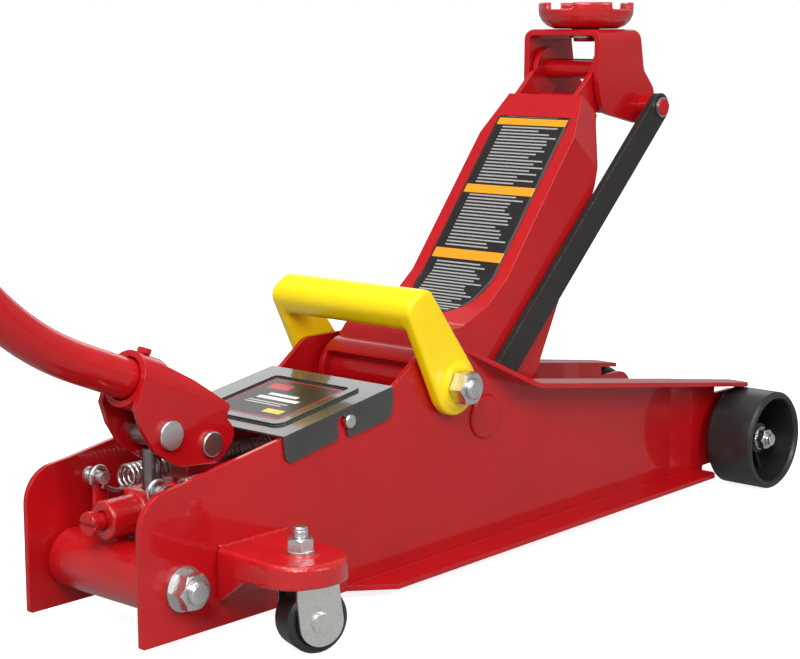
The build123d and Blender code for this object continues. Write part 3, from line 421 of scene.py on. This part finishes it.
def tube(name, points, radius, material, sides=10):
    """Round wire through points, with closed ends."""
    verts, faces = [], []
    side = Vector((0, 1, 0))
    count = len(points)
    for index, point in enumerate(points):
        ahead = points[min(index + 1, count - 1)] - points[max(index - 1, 0)]
        ahead.normalize()
        side = (side - ahead * side.dot(ahead)).normalized()
        other = ahead.cross(side)
        for step in range(sides):
            turn = 2 * math.pi * step / sides
            verts.append(point + side * radius * math.cos(turn) + other * radius * math.sin(turn))
    for index in range(count - 1):
        for step in range(sides):
            a = index * sides + step
            b = index * sides + (step + 1) % sides
            faces.append((a, b, b + sides, a + sides))
    faces.append(tuple(range(sides))[::-1])
    faces.append(tuple((count - 1) * sides + step for step in range(sides)))
    return add_mesh(name, verts, faces, material)


def lathe(name, profile, origin, axis, material, sides=48):
    """Closed ring of (radius, height) points turned about an axis through origin."""
    axis = axis.normalized()
    side = axis.orthogonal().normalized()
    other = axis.cross(side)
    verts, faces = [], []
    count = len(profile)
    for step in range(sides):
        turn = 2 * math.pi * step / sides
        out = side * math.cos(turn) + other * math.sin(turn)
        verts += [origin + out * radius / 1000 + axis * height / 1000 for radius, height in profile]
    for step in range(sides):
        for index in range(count):
            a = step * count + index
            b = step * count + (index + 1) % count
            c = ((step + 1) % sides) * count
            faces.append((a, c + index, c + (index + 1) % count, b))
    return add_mesh(name, verts, faces, material)


# ---------------------------------------------------------------- castings and mouldings
SOFT_PARTS = (
    ("carry_handle", "carry_handle", 0.0011, 9), ("saddle", "saddle", 0.0009, 4),
    ("caster_bracket_left", "frame", 0.0009, 6), ("caster_bracket_right", "frame", 0.0009, 6),
    ("pump_block", "frame", 0.0011, 5))


def soften(node, body, cell, rounds):
    """Shows a casting or moulding with the round edges and corners that come out of its mould."""
    soft = bpy.data.objects.new("moulded_" + node, nodes[node].data.copy())
    bpy.context.scene.collection.objects.link(soft)
    remesh = soft.modifiers.new("cells", "REMESH")
    remesh.mode = "VOXEL"
    remesh.voxel_size = cell
    remesh.use_smooth_shade = True
    smooth = soft.modifiers.new("round", "SMOOTH")
    smooth.factor = 0.5
    smooth.iterations = rounds
    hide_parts(node)
    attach(soft, body)


def add_castings():
    """Rounded castings and mouldings."""
    for node, body, cell, rounds in SOFT_PARTS:
        soften(node, body, cell, rounds)


# ---------------------------------------------------------------- return springs
SPRING_Y = 23.5
SPRING_Z = 79.0
SPRING_ANCHOR = (32.5, 82.0)
SPRING_FRONT = (244.34, 72.2)
COIL_FROM = 50.0
COIL_TO = 156.0
COIL_TURNS = 32
COIL_R = 5.9
WIRE_R = 1.1
HOOK_R = 5.8                    # round the anchor pin
EYE_R = 4.2                     # round the crosshead's pin
HOOK_STEPS = 16
EYE_STEPS = 22
TURN_STEPS = 18                 # points in one turn of the coil


def ring_point(centre, radius, turn, y):
    """Point on a circle about an (X, Z) centre, at an angle in radians."""
    return at(centre[0] + radius * math.cos(turn), y, centre[1] + radius * math.sin(turn))


def spring_path(sign):
    """Hook round the anchor, S-bend, coil, straight wire and front eye."""
    y = sign * SPRING_Y
    points = []
    for step in range(HOOK_STEPS + 1):
        turn = math.radians(-70 + 290 * step / HOOK_STEPS)
        points.append(ring_point(SPRING_ANCHOR, HOOK_R, turn, y))
    points.reverse()
    points.append(at(38.2, y, 75.4))
    points.append(at(42.0, y, 73.2))
    points.append(at(46.0, y, 72.6))
    steps = COIL_TURNS * TURN_STEPS
    for step in range(steps + 1):
        turn = 2 * math.pi * step / TURN_STEPS - math.pi / 2
        x = COIL_FROM + (COIL_TO - COIL_FROM) * step / steps
        points.append(at(x, y + sign * COIL_R * math.cos(turn), SPRING_Z + COIL_R * math.sin(turn)))
    points.append(at(COIL_TO + 3.0, y, SPRING_Z - 4.0))
    points.append(at(COIL_TO + 7.0, y, SPRING_Z - 1.4))
    slope = math.atan2(SPRING_FRONT[1] - SPRING_Z, SPRING_FRONT[0] - COIL_TO)
    for step in range(EYE_STEPS):
        turn = slope + math.pi - math.radians(14 * step)
        points.append(ring_point(SPRING_FRONT, EYE_R, turn, y))
    return points


def add_springs():
    """Both return springs; each stretches between the pump and the crosshead."""
    for side, sign in (("left", 1), ("right", -1)):
        spring = tube("coil_spring_" + side, spring_path(sign), WIRE_R / 1000, MATERIALS["zinc"])
        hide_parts("return_spring_" + side)
        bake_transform(spring)


# ---------------------------------------------------------------- threads
THREAD_ROOT = 0.02              # of the ridges, outside the bolt's own surface
THREAD_RISE = 0.28
THREAD_PITCH = 0.8
CASTER_AT = (73.0, 87.5)        # left stud
BOLT_ENDS = (("main_bolt_thread", "main_nut", 2.4), ("rear_bolt_thread", "trunnion_nut", 1.6))


def add_thread(name, origin, axis, radius, length):
    """Screw thread over a bolt's or stud's end on the frame: rings of ridges from origin along axis."""
    pitch = THREAD_PITCH
    profile = [(radius * 0.8, 0.0), (radius * 0.8, length)]
    ridges = int(length / pitch)
    for index in range(ridges, 0, -1):
        top = index * pitch
        crest = radius + THREAD_RISE
        profile += [(radius + THREAD_ROOT, top), (crest, top - pitch * 0.4), (crest, top - pitch * 0.55)]
    profile.append((radius + THREAD_ROOT, 0.0))
    thread = lathe(name, profile, origin, axis, MATERIALS["zinc"], 40)
    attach(thread, "frame")


def add_threads():
    """Threads on every exposed bolt end."""
    for name, nut, length in BOLT_ENDS:
        low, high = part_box(nut)
        centre = (low + high) / 2
        add_thread(name, Vector((centre.x, low.y, centre.z)), Vector((0, -1, 0)), 6.0, length)
    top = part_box("caster_nuts")[1].z
    for side, sign in (("left", 1), ("right", -1)):
        start = at(CASTER_AT[0], sign * CASTER_AT[1], 0)
        start.z = top
        add_thread("caster_stud_thread_" + side, start, Vector((0, 0, 1)), 4.0, 4.8)


# ---------------------------------------------------------------- weld beads
WELD_R = 0.0014
RIPPLE = 0.0009                 # length of one ripple
BOSS_RISE = 0.0009              # height of the stud's boss over the bracket's plate


def weld_bead(name, start, end, body):
    """Rippled weld bead along a straight joint."""
    count = int((end - start).length / RIPPLE)
    points = []
    for step in range(count + 1):
        point = start.lerp(end, step / count)
        point.z += 0.0003 * math.sin(step * 1.9) + 0.0002 * math.sin(step * 0.7)
        points.append(point)
    bead = tube(name, points, WELD_R, MATERIALS["cast_red"])
    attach(bead, body)


def add_welds():
    """Beads where the caster brackets meet the side plates."""
    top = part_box("caster_bracket_right")[1].z - BOSS_RISE
    for side, sign in (("left", 1), ("right", -1)):
        start, end = at(53.0, sign * 47.6, 0), at(103.0, sign * 47.6, 0)
        start.z = end.z = top
        weld_bead("caster_weld_" + side, start, end, "frame")


# ---------------------------------------------------------------- labels
ARM_UP = Vector((0.6347, 0, 0.7728))
ARM_OUT = Vector((-0.7728, 0, 0.6347))
LABEL_TOP = at(381.3, 0, 259.9)
LABEL_LENGTH = 0.1585
LABEL_HALF = 0.0295
LABEL_ROUND = 0.036             # length of its round end
LABEL_TIP = 0.004               # half width at the very end
ABOVE_FACE = 0.0003             # the film's outer face over the steel


def arm_label():
    """Printed film on the arm's upper face, square at the top and round at the bottom."""
    arm = nodes["lift_arm"]
    arm_faces = [tuple(p.vertices) for p in arm.data.polygons]
    tree = BVHTree.FromPolygons([v.co for v in arm.data.vertices], arm_faces)
    rows, columns = 90, 20
    verts, coords = [], []
    for row in range(rows + 1):
        down = LABEL_LENGTH * row / rows
        left = LABEL_LENGTH - down
        half = LABEL_HALF
        if left < LABEL_ROUND:
            half *= math.sqrt(max(0.0, 1 - ((LABEL_ROUND - left) / LABEL_ROUND) ** 2))
        half = max(half, LABEL_TIP)
        for column in range(columns + 1):
            across = half * (1 - 2 * column / columns)
            start = LABEL_TOP - ARM_UP * down + ARM_OUT * 0.06 + Vector((0, across, 0))
            hit = tree.ray_cast(start, -ARM_OUT)[0]
            verts.append(hit + ARM_OUT * ABOVE_FACE)
            coords.append((0.5 - across / (2 * LABEL_HALF), row / rows))
    faces = []
    for row in range(rows):
        for column in range(columns):
            a = row * (columns + 1) + column
            faces.append((a, a + columns + 1, a + columns + 2, a + 1))
    label = add_mesh("arm_label", verts, faces, label_film("arm_label_film", arm_label_pattern))
    write_uv(label, coords)
    thicken(label, 0.00025)
    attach(label, "lift_arm")


def write_uv(obj, coords):
    """Texture coordinates, one pair for each vertex."""
    layer = obj.data.uv_layers.new(name="film")
    for loop in obj.data.loops:
        layer.data[loop.index].uv = coords[loop.vertex_index]


def thicken(obj, thickness):
    """Gives a film its thickness, towards the part it is stuck to."""
    solid = obj.modifiers.new("film", "SOLIDIFY")
    solid.thickness = thickness
    solid.offset = -1


COVER_X = (100.2, 187.4)        # cover's rear and front edges
COVER_Z = (103.5, 118.3)        # and their heights
COVER_SLOPE = math.atan2(COVER_Z[1] - COVER_Z[0], COVER_X[1] - COVER_X[0])


def cover_label():
    """Printed film inside the raised border of the cover."""
    along = Vector((math.cos(COVER_SLOPE), 0, math.sin(COVER_SLOPE)))
    up = Vector((-math.sin(COVER_SLOPE), 0, math.cos(COVER_SLOPE)))
    centre = at(COVER_X[0], 0, COVER_Z[0]) + along * 0.0442 + up * 0.00035
    half_x, half_y, corner, steps = 0.0275, 0.0285, 0.003, 6
    verts, coords = [], []
    for quarter, (sx, sy) in enumerate(((1, 1), (-1, 1), (-1, -1), (1, -1))):
        for step in range(steps + 1):
            turn = math.pi / 2 * (quarter + step / steps)
            x = sx * (half_x - corner) + corner * math.cos(turn)
            y = sy * (half_y - corner) + corner * math.sin(turn)
            verts.append(centre + along * x + Vector((0, y, 0)))
            coords.append((0.5 - y / (2 * half_y), 0.5 + x / (2 * half_x)))
    faces = [tuple(range(len(verts)))]
    film = label_film("cover_label_film", cover_label_pattern)
    label = add_mesh("cover_label", verts, faces, film, False)
    write_uv(label, coords)
    thicken(label, 0.0003)
    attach(label, "frame")


# ---------------------------------------------------------------- studio
def add_area(name, location, target, size_x, size_y, power):
    """Soft box facing a point."""
    data = bpy.data.lights.new(name, "AREA")
    data.shape = "RECTANGLE"
    data.size = size_x
    data.size_y = size_y
    data.energy = power
    light = bpy.data.objects.new(name, data)
    light.location = location
    light.rotation_euler = (Vector(target) - Vector(location)).to_track_quat("-Z", "Y").to_euler()
    bpy.context.scene.collection.objects.link(light)


FLOOR_HALF = 8.0
LIGHTS = (                      # place in metres, target for at(), width, height and watts
    ("key", (-0.95, -0.7, 1.1), (100, 0, 80), 0.7, 0.7, 19.0),
    ("front", (0.3, -1.5, 1.0), (330, 0, 180), 0.7, 0.7, 9.5),
    ("top", (-0.2, 0.1, 1.8), (250, 0, 120), 1.2, 1.2, 16.0),
    ("back", (1.7, 1.5, 1.1), (250, 0, 120), 1.8, 1.0, 7.0))


def add_studio():
    """World that is white to the camera and grey in reflections, soft boxes and a pale floor."""
    world = bpy.data.worlds.new("studio")
    world.use_nodes = True
    tree = world.node_tree
    direction = tree.nodes.new("ShaderNodeSeparateXYZ")
    link(tree, tree.nodes.new("ShaderNodeTexCoord").outputs["Generated"], direction.inputs[0])
    high = ramp(tree, direction.outputs[2], 0.2, 0.7)
    room = mix_color(tree, high, (0.42, 0.42, 0.42), (0.3, 0.3, 0.3))
    white = mix_color(tree, seen_directly(tree), room, (1.0, 1.0, 1.0))
    link(tree, white, tree.nodes["Background"].inputs["Color"])
    tree.nodes["Background"].inputs["Strength"].default_value = 1.0
    bpy.context.scene.world = world
    bpy.context.scene.view_settings.view_transform = "Standard"
    size = FLOOR_HALF
    corners = [(-size, -size, 0), (size, -size, 0), (size, size, 0), (-size, size, 0)]
    material = floor_white("floor_white")
    floor = add_mesh("floor", [Vector(c) for c in corners], [(0, 1, 2, 3)], material, False)
    for name, location, target, size_x, size_y, power in LIGHTS:
        add_area(name, location, tuple(at(*target)), size_x, size_y, power)


add_camera()
paint_nodes()
add_castings()
add_springs()
add_threads()
add_welds()
arm_label()
cover_label()
add_studio()

bpy.context.view_layer.update()
